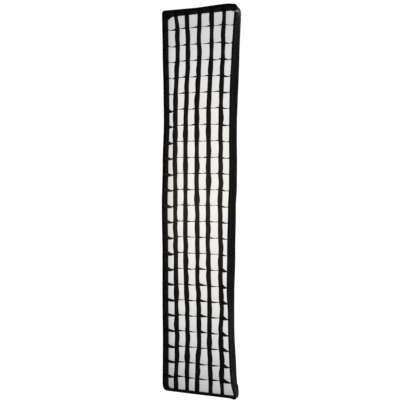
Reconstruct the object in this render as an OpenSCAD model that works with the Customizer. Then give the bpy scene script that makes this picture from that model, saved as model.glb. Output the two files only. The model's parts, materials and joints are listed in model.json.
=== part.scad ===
// Strip softbox with an egg-crate grid, on a rotating speedring for a compact lamp head.
// The face looks along -Y, its long side stands along Z, and the lamp comes in from +Y.
// The origin is the centre of the lamp collar's rear rim. Inside the modules Y is a depth,
// counted back from the corners of the front edge; placed() moves that to the origin.

/* [Face] */
// Width over the fabric lip, at its corners
face_w = 312; // [306:1:320]
// Height over the fabric lip
face_h = 1204; // [1200:1:1216]
// How far each long edge is pulled in at mid-height
edge_pull = 6; // [2:0.5:9]
// How far the middle of the face stands ahead of its corners
face_crown = 5; // [0:0.5:7]
// Depth of the fabric lip
lip_d = 30; // [28:0.5:31]

/* [Grid] */
// Side of one square cell
cell = 50; // [49:0.1:50]
// Depth of the grid's strips
strip_d = 19; // [16:0.5:19]
// Thickness of a sewn double strip
strip_t = 1; // [0.8:0.1:1.2]
// Columns of cells
grid_cols = 6; // [6]
// Rows of cells
grid_rows = 24; // [24]
// How far the lattice hangs below the middle of the face
grid_drop = 11; // [0:0.5:12]
// How far the grid's top band leans in at its back edge
top_lean = 13; // [0:0.5:14]

/* [Fabric] */
// Thickness of the shell and lip fabric
fabric_t = 1; // [0.8:0.1:1]
// Thickness of one hook or loop tape
tape_t = 1.2; // [1:0.1:1.2]
// Thickness of the two diffuser sheets
sheet_t = 0.6; // [0.4:0.1:0.6]
// Width of the binding on the outside of the lip
binding_w = 8; // [6:0.5:10]

/* [Rods] */
// Radius of the spring rods
rod_r = 2.5; // [2.5:0.1:2.7]
// How far each rod bows out at the middle of its length
rod_bow = 5; // [4:0.5:8]
// Depth at which the rods leave their sockets
socket_depth = 82.5; // [81.5:0.5:83]

/* [Speedring] */
// Outer radius of the speedring
ring_r = 58; // [57:0.5:59]
// Radius of the lamp collar's bore
collar_r = 43; // [42:0.5:43]
// Depth of the collar's rear rim, where the origin is
mount_depth = 122; // [121:0.5:124]

/* [Baffle] */
// Half width of the inner diffuser
baffle_half_w = 82; // [70:1:84]
// Half height of the inner diffuser
baffle_half_h = 320; // [280:1:325]
// Depth of the inner diffuser
baffle_depth = 48; // [46:0.5:50]

/* [Hidden] */
COLUMN_NODES = [for (c = [1:grid_cols - 1]) str("grid_column_", c)];
$fn = 96;

gap = 0.3;
half_w = face_w / 2;
half_h = face_h / 2;
edge_steps = 16;
curve_steps = 18;
// The layers on the lip's inner wall, counted in from the lip's outer face
loop_in = fabric_t + 0.2;
diffuser_in = loop_in + tape_t + gap;
hook_in = diffuser_in + tape_t + gap;
band_in = hook_in + tape_t + 0.2;
grid_in = band_in + fabric_t;
grid_front = 1;
grid_back = grid_front + strip_d;
diffuser_depth = grid_back + 1.4;
tape_back = diffuser_depth + sheet_t;
slot_w = strip_t + 0.5;
lap = grid_front + strip_d / 2;
end_gap = 0.5;

// Depths of the speedring's parts, from the front
carrier_rim_front = 88;
carrier_plate_front = 94;
ring_front = 99;
flange_front = 103.7;
flange_back = 106.7;
ring_plate_front = 107;
ring_back = 111;
flange_r = 51.6;
collar_outer_r = collar_r + 4;
running = 0.1;
lock_depth = 105.2;
lock_r = 2.5;
boss_top = 66;
socket_xy = 37;
socket_r = 5;
throat_r = ring_r + 2.6;
seam_xy = 43;
seam_depth = carrier_rim_front + 0.5;

rod_start = [socket_xy, socket_depth, socket_xy];
rod_end = [half_w - 18.5, lip_d + 0.5, half_h - 20];
seam_start = [seam_xy, seam_depth, seam_xy];
seam_end = [half_w - 10, lip_d + 5, half_h - 8];

function pull(z) = edge_pull * (1 - pow(z / half_h, 2));
function crown(z) = -face_crown * (1 - pow(z / half_h, 2));
function mix(a, b, t) = a + (b - a) * t;
function bowed(a, b, t) = mix(a, b, t) + [0, rod_bow * 4 * t * (1 - t), 0];
function seam(t) = bowed(seam_start, seam_end, t);
function seam_at(z) = seam((z - seam_start[2]) / (seam_end[2] - seam_start[2]));
function unit(v) = v / norm(v);
function rows_z(k) = (grid_rows / 2 - k) * cell - grid_drop;
function band_x(z) = half_w - grid_in - pull(z);
edge_z = [for (i = [0:edge_steps]) mix(-half_h, half_h, i / edge_steps)];

module placed() { translate([0, -mount_depth, 0]) children(); }
module both_x() { children(); mirror([1, 0, 0]) children(); }
module both_z() { children(); mirror([0, 0, 1]) children(); }
module corners() { both_x() both_z() children(); }

// A closed solid through rings of points. Each ring lists one long side of a thin
// section and comes back along the other, so quads across it close the two ends.
module loft(rings) {
    n = len(rings[0]);
    last = (len(rings) - 1) * n;
    walls = [for (r = [0:len(rings) - 2], i = [0:n - 1])
        [r * n + i, r * n + (i + 1) % n, (r + 1) * n + (i + 1) % n, (r + 1) * n + i]];
    low_cap = [for (i = [0:n / 2 - 2]) [i, n - 1 - i, n - 2 - i, i + 1]];
    high_cap = [for (f = low_cap) turned(f) + [last, last, last, last]];
    faces = concat(walls, low_cap, high_cap);
    polyhedron([for (ring = rings) each ring],
        runs_clockwise(rings) ? faces : [for (f = faces) turned(f)]);
}
function turned(face) = [for (i = [len(face) - 1:-1:0]) face[i]];
function total(list) = [for (v = list) 1] * list;
function ring_normal(ring) =
    total([for (i = [0:len(ring) - 1]) cross(ring[i], ring[(i + 1) % len(ring)])]);
function runs_clockwise(rings) =
    ring_normal(rings[0]) * (total(rings[1]) - total(rings[0])) < 0;

// A section drawn as [inset from the lip's outer face, depth], swept up the right edge
module swept_edge(section, z_end) {
    steps = [for (z = edge_z) max(-z_end, min(z_end, z))];
    loft([for (z = steps) [for (p = section)
        [half_w - pull(z) - p[0], p[1] + crown(z), z]]]);
}

// The same section along the top edge, between the two long edges
module straight_edge(section, length) {
    rotate([0, 90, 0]) translate([0, 0, -length / 2]) linear_extrude(length)
        polygon([for (p = section) [-(half_h - p[0]), p[1]]]);
}

function slab(inset, t, front, back) =
    [[inset, front], [inset, back], [inset + t, back], [inset + t, front]];
lip_section = slab(0, fabric_t, 0, lip_d);
loop_section = slab(loop_in, tape_t, 4, tape_back);
diffuser_section = slab(diffuser_in, tape_t, 3, tape_back);
hook_section = slab(hook_in, tape_t, grid_front + 1, grid_back);
band_section = slab(band_in, fabric_t, grid_front, grid_back);
binding_section = [
    [-0.2, binding_w], [-0.2, -0.2], [fabric_t + 0.2, -0.2], [fabric_t + 0.2, 3.7],
    [fabric_t + 1.1, 3.7], [fabric_t + 1.1, -1.2], [-1.2, -1.2], [-1.2, binding_w]
];

// ---- Lamp collar and speedring ----

module lamp_collar() {
    color("silver") placed() difference() {
        rotate([-90, 0, 0]) union() {
            translate([0, 0, flange_front])
                cylinder(r = flange_r, h = flange_back - flange_front);
            translate([0, 0, flange_front])
                cylinder(r = collar_outer_r, h = mount_depth - flange_front);
        }
        rotate([-90, 0, 0]) translate([0, 0, flange_front - 1])
            cylinder(r = collar_r, h = mount_depth - flange_front + 2);
        for (a = [0:120:240]) rotate([0, a, 0]) bayonet_slot();
    }
}

// An L-shaped way in for one of the lamp's three pins
module bayonet_slot() {
    half_turn = 3.7;
    leg_turn = 15;
    leg_depth = mount_depth - 9;
    collar_sector(-half_turn, half_turn, leg_depth - 2.7, mount_depth + 5);
    collar_sector(0, half_turn + leg_turn, leg_depth - 2.7, leg_depth + 2.7);
}

// A wedge through the collar's wall, between two angles and two depths
module collar_sector(a, b, front, back) {
    inner = collar_r - 5;
    outer = collar_outer_r + 5;
    translate([0, front, 0]) rotate([-90, 0, 0]) linear_extrude(back - front)
        polygon([inner * [cos(a), sin(a)], outer * [cos(a), sin(a)],
            outer * [cos(b), sin(b)], inner * [cos(b), sin(b)]]);
}

// A felt ring on the front of the flange keeps light from leaking round the collar
module collar_liner() {
    color("dimgray") placed() rotate([-90, 0, 0])
        translate([0, 0, flange_front - 3.5]) difference() {
            cylinder(r = collar_outer_r - 0.5, h = 3.3);
            translate([0, 0, -1]) cylinder(r = collar_r + 0.5, h = 6);
        }
}

module speedring() {
    color("#2b2b2e") placed() difference() {
        union() {
            rotate([-90, 0, 0]) translate([0, 0, ring_front])
                cylinder(r = ring_r, h = ring_back - ring_front);
            both_z() translate([-8, ring_front + 0.5, 50])
                cube([16, ring_back - ring_front - 0.5, boss_top - 50]);
        }
        rotate([-90, 0, 0]) translate([0, 0, ring_front - 1])
            cylinder(r = flange_r + running, h = ring_plate_front - ring_front + 1);
        rotate([-90, 0, 0]) translate([0, 0, ring_front])
            cylinder(r = collar_outer_r + running, h = 20);
        both_z() translate([0, lock_depth, 45]) cylinder(r = lock_r + 0.08, h = 30);
        for (a = [0:90:270]) rotate([0, a, 0])
            translate([screw_spot[0], ring_front - 1, screw_spot[1]])
                rotate([-90, 0, 0]) cylinder(r = 1.25, h = 8);
    }
}
screw_spot = [21, 50.8];

// Front half of the speedring: traps the collar's flange and carries the four sockets
module rod_carrier() {
    color("#3a3a3d") placed() difference() {
        union() {
            rotate([-90, 0, 0]) {
                translate([0, 0, carrier_rim_front])
                    cylinder(r = ring_r, h = ring_front - carrier_rim_front - 0.02);
                translate([0, 0, ring_front - 1])
                    cylinder(r = flange_r - 0.2, h = flange_front - ring_front + 0.7);
            }
            corners() socket_boss();
        }
        rotate([-90, 0, 0]) {
            translate([0, 0, carrier_rim_front - 1])
                cylinder(r = ring_r - 3, h = carrier_plate_front - carrier_rim_front + 1);
            translate([0, 0, carrier_rim_front])
                cylinder(r = collar_outer_r + 0.6, h = 30);
        }
        corners() along_rod_start() translate([0, 0, -3.5]) cylinder(r = rod_r + 0.08, h = 60);
        for (a = [0:90:270]) rotate([0, a, 0])
            translate([screw_spot[0], carrier_plate_front - 1, screw_spot[1]])
                rotate([-90, 0, 0]) {
                    cylinder(r = 1.55, h = 20);
                    cylinder(r = 2.9, h = 2.2);
                }
    }
}

// The socket's tube lies along the rod, in front of the shell; its foot stands on the
// carrier's plate
module socket_boss() {
    along_rod_start() translate([0, 0, -9]) cylinder(r = socket_r, h = 18);
    translate(rod_start) rotate([-90, 0, 0])
        cylinder(r = socket_r - 1, h = carrier_plate_front - socket_depth + 1);
}

// Moves what stands on +Z to the start of the rod at +X +Z, pointing along it
module along_rod_start() {
    translate(rod_start) aim(rod_path[1] - rod_path[0]) children();
}

// Turns +Z to point along v
module aim(v) {
    rotate([0, atan2(v[0], v[2]), 0]) rotate([-asin(unit(v)[1]), 0, 0]) children();
}

module carrier_screws() {
    color("silver") placed() for (a = [0:90:270]) rotate([0, a, 0])
        translate([screw_spot[0], carrier_plate_front - 1, screw_spot[1]])
            rotate([-90, 0, 0]) difference() {
                union() {
                    cylinder(r = 2.75, h = 2.1);
                    cylinder(r = 1.2, h = 12);
                }
                translate([0, 0, -1]) cylinder(r = 1.4, h = 2.2, $fn = 6);
            }
}

module lock_screw() {
    color("silver") placed() translate([0, lock_depth, flange_r + 0.4])
        cylinder(r = lock_r, h = 26);
}

module lock_knob() {
    knob_low = boss_top + 1.5;
    color("#1b1b1c") placed() translate([0, lock_depth, knob_low]) difference() {
        union() {
            cylinder(r = 4.2, h = 3);
            translate([0, 0, 3]) cylinder(r = 7.4, h = 10);
        }
        translate([0, 0, -1]) cylinder(r = lock_r, h = 30);
        for (a = [0:30:330]) rotate([0, 0, a]) translate([8.1, 0, 2]) cylinder(r = 1.4, h = 20);
    }
}

// ---- Rods ----

// Points along the rod, from its socket to its tip
rod_path = [for (i = [0:curve_steps]) bowed(rod_start, rod_end, i / curve_steps)];

module tube(path, r, sides) {
    loft([for (i = [0:len(path) - 1])
        let (
            ahead = path[min(i + 1, len(path) - 1)] - path[max(i - 1, 0)],
            side = unit(cross(ahead, [0, 1, 0])),
            up = unit(cross(side, ahead))
        )
        [for (k = [0:sides - 1]) path[i] + r * (side * cos(k * 360 / sides)
            + up * sin(k * 360 / sides))]]);
}

module rod() {
    color("#202022") placed() {
        tube([for (i = [1:curve_steps]) rod_path[i]], rod_r, 12);
    }
}

// The steel ferrule is straight: it fills the socket and holds the rod's first stretch
module rod_ferrules() {
    first = norm(rod_path[1] - rod_path[0]);
    color("silver") placed() corners() along_rod_start()
        translate([0, 0, -3]) cylinder(r = rod_r, h = first + 2.7);
}

module rod_tips() {
    v = unit(rod_path[curve_steps] - rod_path[curve_steps - 1]);
    color("#151515") placed() corners()
        translate(rod_end + v * 0.2) aim(v) {
            cylinder(r = 3.4, h = 5);
            translate([0, 0, 5]) sphere(r = 3.4);
        }
}

module corner_pockets() {
    v = unit(rod_path[curve_steps] - rod_path[curve_steps - 1]);
    color("#1a1a1a") placed() corners()
        translate(rod_end) aim(v) difference() {
            translate([0, 0, -22]) cylinder(r = 4.6, h = 31.5);
            translate([0, 0, -23]) cylinder(r = 3.8, h = 31.5);
        }
}

// ---- Shell ----

// Inner end of the side panel's line at height z: the seam, or the throat's circle
function side_inner(z) = abs(z) <= seam_xy
    ? [sqrt(pow(throat_r, 2) - z * z), seam_depth, z]
    : let (s = seam_at(abs(z))) [s[0] + 0.4, s[1], z];
function side_outer(z) = [half_w - pull(z) - 0.5, lip_d + gap + crown(z), z];
side_lean = unit([76, 98]);
function side_ring(z, n) = let (
        lift = [side_lean[0], side_lean[1], 0] * fabric_t,
        line = [for (i = [0:n]) mix(side_outer(z), side_inner(z), i / n)]
    )
    concat([for (i = [0:n]) line[i]], [for (i = [n:-1:0]) line[i] + lift]);

panel_z = [
    for (i = [10:-1:1]) -mix(seam_xy, seam_end[2] - 1, i / 10),
    for (i = [-3:3]) i * seam_xy / 3,
    for (i = [1:10]) mix(seam_xy, seam_end[2] - 1, i / 10)
];

module shell_side() {
    color("#141416") placed() loft([for (z = panel_z) side_ring(z, 4)]);
}

// Across the end panel at seam parameter t: straight at the face, round at the throat
function end_line(t, n) = let (s = seam(t))
    [for (i = [-n:n]) let (
            x = s[0] * i / n,
            round = sqrt(pow(throat_r, 2) - pow(seam_xy * i / n, 2)) - seam_xy
        )
        [x, s[1], s[2] + round * pow(1 - t, 4)]];
function thick(line, lift) =
    concat(line, [for (i = [len(line) - 1:-1:0]) line[i] + lift]);

module shell_end() {
    n = 4;
    up = [0, fabric_t, 0];
    rings = [for (i = [0:12]) thick(end_line(i / 12, n), up)];
    edge = [for (i = [-n:n]) [seam_end[0] * i / n, lip_d + gap, half_h - 0.7]];
    color("#141416") placed() loft(concat(rings, [thick(edge, [0, 0, 0.6])]));
}

module seam_piping() {
    r = 1.4;
    path = [for (i = [0:curve_steps])
        seam(mix(0.02, 0.985, i / curve_steps)) + [1, r + fabric_t + gap, 0]];
    color("#0e0e0f") placed() corners() tube(path, r, 8);
}

module throat_elastic() {
    color("#101012") placed() rotate([-90, 0, 0])
        translate([0, 0, seam_depth + fabric_t + 0.4]) difference() {
            cylinder(r = throat_r - 0.3, h = 8.5);
            translate([0, 0, -1]) cylinder(r = ring_r + 0.3, h = 20);
        }
}

// ---- Lip ----

module lip_long() { color("#18181b") placed() swept_edge(lip_section, half_h); }
module lip_short() {
    color("#18181b") placed() straight_edge(lip_section, face_w - 2 * fabric_t - 2 * gap);
}
module binding_long() { color("#303032") placed() swept_edge(binding_section, half_h); }
module binding_short() {
    color("#303032") placed() straight_edge(binding_section, face_w - 2 * 2.6);
}

// One tape on each of the four walls; the short ones stop clear of the long ones
module four_tapes(section) {
    inset = section[2][0];
    both_x() swept_edge(section, half_h - section[0][0]);
    both_z() straight_edge(section, face_w - 2 * inset - 2 * gap);
}
module lip_loop_tape() { color("#2a2a2c") placed() four_tapes(loop_section); }

// ---- Diffusers ----

module diffuser_tape() { color("#242426") placed() four_tapes(diffuser_section); }

module front_diffuser() {
    z_in = half_h - diffuser_in - tape_t - gap;
    color("white") placed() loft([for (zi = edge_z) let (
            z = max(-z_in, min(z_in, zi)),
            x = half_w - pull(z) - diffuser_in - tape_t - gap
        )
        thick([for (i = [-1:1]) [x * i, diffuser_depth + crown(z), z]], [0, sheet_t, 0])]);
}

module inner_baffle() {
    color("white") placed() translate([0, baffle_depth, 0])
        cube([2 * baffle_half_w, sheet_t, 2 * baffle_half_h], center = true);
}

module baffle_hem() {
    hem = 12;
    color("#e8e8e6") placed() both_z() both_x() {
        translate([baffle_half_w + gap, baffle_depth - 0.8, 0])
            cube([hem / 2, 1.6, baffle_half_h + gap + hem / 2]);
        translate([0, baffle_depth - 0.8, baffle_half_h + gap])
            cube([baffle_half_w + 2 * gap, 1.6, hem / 2]);
    }
}

// Straps hold the baffle's corners to the shell's seams
module baffle_straps() {
    from = [baffle_half_w + 8, baffle_half_h + 8];
    to = [seam_at(baffle_half_h + 70)[0] - 8, baffle_half_h + 66];
    length = norm(to - from);
    color("#222224") placed() corners()
        translate([from[0], baffle_depth - 0.5, from[1]])
            rotate([0, atan2(to[0] - from[0], to[1] - from[1]), 0])
                translate([-8, 0, 0]) cube([16, 1, length]);
}

// ---- Grid ----

module grid_hook_tape() { color("#242426") placed() four_tapes(hook_section); }
module grid_band_long() {
    color("#161618") placed() swept_edge(band_section, half_h - band_in);
}
module grid_band_top() {
    leaning = [
        [band_in, grid_front], [band_in + top_lean, grid_back],
        [grid_in + top_lean, grid_back], [grid_in, grid_front]
    ];
    color("#161618") placed() straight_edge(leaning, face_w - 2 * grid_in - 2 * gap);
}
module grid_band_bottom() {
    color("#161618") placed() straight_edge(band_section, face_w - 2 * grid_in - 2 * gap);
}

module grid_row_strips() {
    color("#161618") placed() for (k = [1:grid_rows - 1]) {
        z = rows_z(k);
        reach = band_x(z) - end_gap;
        translate([0, crown(z), z]) difference() {
            translate([-reach, grid_front, -strip_t / 2]) cube([2 * reach, strip_d, strip_t]);
            for (c = [1:grid_cols - 1])
                translate([(c - grid_cols / 2) * cell - slot_w / 2, lap - 0.1, -strip_t])
                    cube([slot_w, strip_d, 2 * strip_t]);
        }
    }
}

module grid_column(c) {
    low = -(half_h - grid_in - end_gap);
    high = half_h - grid_in - top_lean - end_gap;
    zs = [for (i = [0:edge_steps]) mix(low, high, i / edge_steps)];
    outline = concat([for (z = zs) [grid_front + crown(z), z]],
        [[grid_front, high + top_lean]],
        [for (i = [edge_steps:-1:0]) [grid_back + crown(zs[i]), zs[i]]]);
    color("#161618") placed() translate([(c - grid_cols / 2) * cell, 0, 0]) difference() {
        translate([-strip_t / 2, 0, 0]) rotate([90, 0, 90]) linear_extrude(strip_t)
            polygon(outline);
        for (k = [1:grid_rows - 1])
            translate([-strip_t, grid_front + crown(rows_z(k)) - 9, rows_z(k) - slot_w / 2])
                cube([2 * strip_t, strip_d / 2 + 9.1, slot_w]);
    }
}

lamp_collar();
collar_liner();
speedring();
rod_carrier();
carrier_screws();
lock_screw();  // lock_screw_top
lock_knob();  // lock_knob_top
mirror([0, 0, 1]) lock_screw();  // lock_screw_bottom
mirror([0, 0, 1]) lock_knob();  // lock_knob_bottom
mirror([1, 0, 0]) rod();  // rod_top_left
rod();  // rod_top_right
mirror([1, 0, 0]) mirror([0, 0, 1]) rod();  // rod_bottom_left
mirror([0, 0, 1]) rod();  // rod_bottom_right
rod_ferrules();
rod_tips();
corner_pockets();
mirror([1, 0, 0]) shell_side();  // shell_left
shell_side();  // shell_right
shell_end();  // shell_top
mirror([0, 0, 1]) shell_end();  // shell_bottom
seam_piping();
throat_elastic();
mirror([1, 0, 0]) lip_long();  // lip_left
lip_long();  // lip_right
lip_short();  // lip_top
mirror([0, 0, 1]) lip_short();  // lip_bottom
mirror([1, 0, 0]) binding_long();  // binding_left
binding_long();  // binding_right
binding_short();  // binding_top
mirror([0, 0, 1]) binding_short();  // binding_bottom
lip_loop_tape();
inner_baffle();
baffle_hem();
baffle_straps();
front_diffuser();
diffuser_tape();
grid_hook_tape();
mirror([1, 0, 0]) grid_band_long();  // grid_band_left
grid_band_long();  // grid_band_right
grid_band_top();
mirror([0, 0, 1]) grid_band_bottom();
grid_row_strips();
for (c = [1:grid_cols - 1])
    grid_column(c);
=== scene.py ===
"""Looks of the strip softbox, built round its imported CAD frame.

Everything is in metres in the CAD's own frame: the face looks along -Y, the strip stands
along Z, and the lamp comes in from +Y. Points on the face are written as (x across,
z up, depth behind the front edge); face_point() turns them into the frame.
"""

import json
import math
import random

import bpy
import numpy as np
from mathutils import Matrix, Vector, noise


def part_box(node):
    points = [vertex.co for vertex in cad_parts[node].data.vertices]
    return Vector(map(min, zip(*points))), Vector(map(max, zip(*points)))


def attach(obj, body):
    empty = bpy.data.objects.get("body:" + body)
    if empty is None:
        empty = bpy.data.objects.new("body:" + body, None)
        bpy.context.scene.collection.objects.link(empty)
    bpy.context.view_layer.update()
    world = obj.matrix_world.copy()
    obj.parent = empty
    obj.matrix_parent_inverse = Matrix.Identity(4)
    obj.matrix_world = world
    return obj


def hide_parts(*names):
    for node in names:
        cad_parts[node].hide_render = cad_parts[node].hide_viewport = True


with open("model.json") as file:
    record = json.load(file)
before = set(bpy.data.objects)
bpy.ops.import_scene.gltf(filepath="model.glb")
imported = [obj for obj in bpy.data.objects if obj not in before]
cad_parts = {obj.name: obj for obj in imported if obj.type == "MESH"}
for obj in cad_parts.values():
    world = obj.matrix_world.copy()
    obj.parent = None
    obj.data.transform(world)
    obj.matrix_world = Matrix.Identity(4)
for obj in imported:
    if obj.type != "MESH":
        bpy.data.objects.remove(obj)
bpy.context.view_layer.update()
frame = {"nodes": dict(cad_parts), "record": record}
nodes = frame["nodes"]

MM = 0.001

# ---- measures from the CAD


def cad_points(node):
    return np.array([v.co for v in nodes[node].data.vertices])


def long_wall(node):
    """Heights, outer x and front y up a long lip wall, read from its CAD mesh."""
    co = cad_points(node)
    levels = np.unique(np.round(co[:, 2], 4))
    rows = [co[np.abs(co[:, 2] - z) < 1e-4] for z in levels]
    return levels, np.array([r[:, 0].max() for r in rows]), np.array([r[:, 1].min() for r in rows])


WALL_Z, WALL_X, WALL_Y = long_wall("lip_right")
lip_low, lip_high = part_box("lip_top")
FRONT = lip_low.y
LIP_DEPTH = lip_high.y - FRONT
HALF_W = float(WALL_X.max())
HALF_H = lip_high.z
# Radius of each corner of the face, by its signs in X and Z
CORNER_R = {(-1, 1): 10 * MM, (1, 1): 8 * MM, (-1, -1): 20 * MM, (1, -1): 7 * MM}
# How far the rods draw in the back of the upper and the lower corners
CORNER_PINCH = {1: 10 * MM, -1: 2 * MM}
TOP_RISE = 6 * MM
# How far the bottom right corner hangs back and down
CORNER_DROOP = 4 * MM
# Least radius of the grid's border, and of what it is stuck to, at the top left corner
BORDER_R = 11 * MM
LEAST_R = 1.5 * MM
# Greatest radius of the border at its other corners
BORDER_WIDEST_R = 12.5 * MM
THROAT_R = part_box("throat_elastic")[1].x + 0.3 * MM
THROAT_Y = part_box("throat_elastic")[0].y - 1.4 * MM
SEAM_XY = THROAT_R / math.sqrt(2)
ROD_BOW = 5 * MM
CELL = 50 * MM
COLUMNS = 6
ROWS = 24


def inset_of(node):
    """How far inside the lip's outer face the outside of a layer lies."""
    return HALF_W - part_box(node)[1].x


DIFFUSER_INSET = inset_of("front_diffuser")
BAND_INSET = inset_of("grid_band_right")
BAND_T = 1 * MM
band_low, band_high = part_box("grid_band_top")
GRID_FRONT = band_low.y - FRONT
GRID_BACK = band_high.y - FRONT
DIFFUSER_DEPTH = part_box("front_diffuser")[1].y - FRONT - 0.6 * MM
TOP_LEAN = band_high.z - band_low.z - BAND_T
GRID_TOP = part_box("grid_column_1")[1].z - TOP_LEAN
GRID_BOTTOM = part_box("grid_column_1")[0].z
ROW_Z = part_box("grid_row_strips")[1].z - 0.5 * MM


def pull(z):
    return HALF_W - float(np.interp(z, WALL_Z, WALL_X))


def crown(z):
    return float(np.interp(z, WALL_Z, WALL_Y)) - FRONT


def mix(a, b, t):
    return a + (b - a) * t


def ramp(t):
    t = min(1.0, max(0.0, t))
    return t * t * (3 - 2 * t)


def through(knots, z):
    """A smooth curve through (height in metres, value in mm) knots, lowest first."""
    for (z0, a), (z1, b) in zip(knots, knots[1:]):
        if z <= z1:
            return mix(a, b, ramp((z - z0) / (z1 - z0))) * MM
    return knots[-1][1] * MM


# Cloth on sprung rods never stands quite true: how far each part of the face has given way
# to the right and back, by height
LEFT_GIVE = [(-0.60, 6), (-0.45, 7), (-0.30, 5), (-0.17, 5), (-0.02, 2), (0.12, 6),
             (0.25, 11.5), (0.35, 10), (0.47, 6.5), (0.60, 4)]
MIDDLE_GIVE = [(-0.60, 0), (-0.50, 2), (-0.34, 4), (-0.20, -1), (0.0, -1.5), (0.28, -1.5),
               (0.38, 2), (0.46, 6.5), (0.60, 4)]
RIGHT_GIVE = [(-0.60, -1.5), (-0.52, -6), (-0.40, -10), (-0.28, -10), (-0.15, -6), (-0.02, -1.5),
              (0.05, 3), (0.12, 3.5), (0.20, 2), (0.30, 2), (0.45, 4.5), (0.60, 8)]
# Where across the face the right wall's own shape begins
FLARE_FROM = 0.1
# How far the front of the right wall flares out past its back, by height
RIGHT_FLARE = [(-0.60, 18), (-0.555, 7), (-0.50, 4), (-0.40, 4.5), (-0.34, 4.5), (-0.28, 0),
               (0.36, 0), (0.45, 3), (0.54, 7), (0.60, 11)]
# How far the back of the right wall stands out, by height
RIGHT_BACK = [(-0.60, 0), (-0.50, -1), (-0.39, -2), (-0.33, -1), (-0.28, 0.3), (-0.22, 2),
              (-0.12, 2), (0.0, 0.5), (0.25, 0), (0.31, 2), (0.36, 3.5), (0.56, 4), (0.60, 1.5)]
# The shares of a give that go to the right and back
GIVE_RIGHT = 0.6
GIVE_BACK = 0.4


def give(x, z):
    side = RIGHT_GIVE if x > 0 else LEFT_GIVE
    middle = through(MIDDLE_GIVE, z)
    return mix(middle, through(side, z), min(1.0, abs(x) / HALF_W) ** 1.5)


def corner_arc(sx, sz, inset, least=LEAST_R):
    """Radius and centre of a corner's arc, for a line that runs inset inside the edge. The
    least radius asked for holds at the top left corner only."""
    if (sx, sz) != (-1, 1):
        least = LEAST_R
    widest = BORDER_WIDEST_R if inset >= BAND_INSET else CORNER_R[sx, sz]
    radius = max(least, min(widest, CORNER_R[sx, sz] - inset))
    return radius, sx * (HALF_W - inset - radius), sz * (HALF_H - inset - radius)


def within_corner(x, z, inset, least=LEAST_R):
    """Brings a point that lies outside a corner's arc back onto it."""
    sx, sz = (1 if x > 0 else -1), (1 if z > 0 else -1)
    radius, cx, cz = corner_arc(sx, sz, inset, least)
    dx, dz = x - cx, z - cz
    far = math.hypot(dx, dz)
    if dx * sx <= 0 or dz * sz <= 0 or far <= radius:
        return x, z
    return cx + dx * radius / far, cz + dz * radius / far


def face_point(x, z, depth, inset=0.0, least=LEAST_R):
    """A point on the face: to the flat outline it adds the edges' pull, the face's crown,
    its give, and the pinch that the rods put into the back of each corner."""
    x, z = within_corner(x, z, inset, least)
    share = min(1.0, abs(x) / HALF_W) ** 3
    shift = give(x, z)
    near = ramp((abs(x) - HALF_W + 0.03) / 0.03) * ramp((abs(z) - HALF_H + 0.045) / 0.045)
    pinch = CORNER_PINCH[1 if z > 0 else -1] * near * max(0.0, depth / LIP_DEPTH)
    if x > FLARE_FROM:
        front_share = 1 - min(1.0, max(0.0, depth) / LIP_DEPTH)
        near_wall = (x - FLARE_FROM) / (HALF_W - FLARE_FROM)
        shift += through(RIGHT_FLARE, z) * front_share * near_wall / GIVE_RIGHT
        shift += through(RIGHT_BACK, z) * (1 - front_share) * near_wall ** 4 / GIVE_RIGHT
    rise = TOP_RISE * max(0.0, x / HALF_W) * max(0.0, z / HALF_H) ** 10
    rise *= 1 - 0.7 * ramp((x - HALF_W + 0.04) / 0.04)
    droop = ramp((x - HALF_W + 0.022) / 0.022) * ramp((-z - HALF_H + 0.03) / 0.03)
    return Vector((x - math.copysign(pull(z) * share + 0.35 * pinch, x) + GIVE_RIGHT * shift,
                   FRONT + depth + crown(z) + GIVE_BACK * give(x, z) + 0.2 * CORNER_DROOP * droop,
                   z - math.copysign(pinch, z) + rise - 0.7 * CORNER_DROOP * droop))


def ripple(x, y, z=0.0):
    """Smooth noise from -1 to 1."""
    return noise.noise(Vector((x, y, z)))


# ---- meshes


def add_object(name, data):
    obj = bpy.data.objects.new(name, data)
    bpy.context.scene.collection.objects.link(obj)
    return obj


def make_object(name, verts, faces, uvs=None):
    mesh = bpy.data.meshes.new(name)
    mesh.from_pydata([tuple(v) for v in verts], [], faces)
    mesh.shade_smooth()
    if uvs is not None:
        layer = mesh.uv_layers.new(name="cloth")
        for loop in mesh.loops:
            layer.data[loop.index].uv = uvs[loop.vertex_index]
    return add_object(name, mesh)


def lengths(points):
    steps = [0.0]
    for a, b in zip(points, points[1:]):
        steps.append(steps[-1] + (b - a).length)
    return steps


def sheet_rows(up, across, point):
    """Rows of points: point() takes how far up and how far across a sheet, from 0 to 1."""
    return [[point(i / up, j / across) for j in range(across + 1)] for i in range(up + 1)]


def cloth_grid(name, rows, closed=False):
    """A sheet through rows of points, with UVs in metres along the cloth."""
    n, m = len(rows), len(rows[0])
    along = lengths([row[m // 2] for row in rows])
    across = lengths(rows[n // 2])
    verts = [p for row in rows for p in row]
    uvs = [(across[j], along[i]) for i in range(n) for j in range(m)]
    faces = []
    for i in range(n - 1):
        for j in range(m if closed else m - 1):
            k = (j + 1) % m
            faces.append((i * m + j, i * m + k, (i + 1) * m + k, (i + 1) * m + j))
    return make_object(name, verts, faces, uvs)


def thicken(obj, thickness, offset=0.0):
    mod = obj.modifiers.new("thickness", "SOLIDIFY")
    mod.thickness = thickness
    mod.offset = offset
    mod.use_even_offset = True
    return obj


UP_FROM_FACE = Vector((0, 1, 0))


def frames_along(path):
    """A side and an up vector at each point of a path."""
    out = []
    for i, p in enumerate(path):
        ahead = path[min(i + 1, len(path) - 1)] - path[max(i - 1, 0)]
        side = ahead.cross(UP_FROM_FACE).normalized()
        out.append((p, side, side.cross(ahead).normalized()))
    return out


def round_about(count):
    """Angles spaced evenly round a full turn."""
    return [2 * math.pi * j / count for j in range(count)]


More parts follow.
